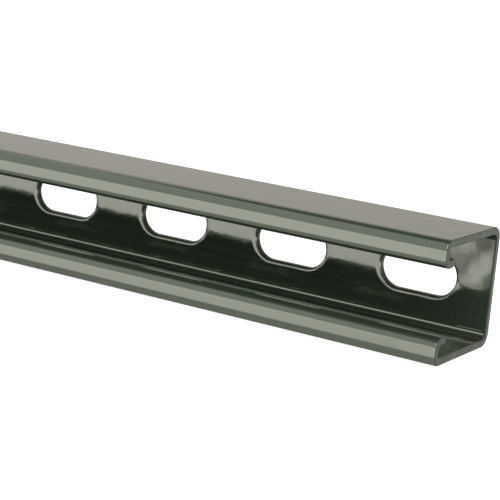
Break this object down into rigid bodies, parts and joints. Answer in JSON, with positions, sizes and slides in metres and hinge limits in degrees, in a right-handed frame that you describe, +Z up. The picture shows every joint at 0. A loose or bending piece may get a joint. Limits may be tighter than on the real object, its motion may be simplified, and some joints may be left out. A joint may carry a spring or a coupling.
{
  "type": "strut channel",
  "caption": "Slotted strut channel: a straight length of C-section with inturned lips along its open side and a row of round-ended slots down its web, to carry fittings and pipe clamps.",
  "frame": {"origin": "on the floor under the middle of the length and depth, with the channel lying on its flange", "axes": "+X along the length, +Y from the open mouth to the slotted web, +Z up across the flanges"},
  "size_m": [0.3048, 0.0412, 0.0413],
  "materials": {
    "green_enamel": "baked glossy dark green enamel over the whole piece, cut ends too"
  },
  "bodies": {
    "root": {"strut_channel": "green_enamel"}
  },
  "joints": []
}
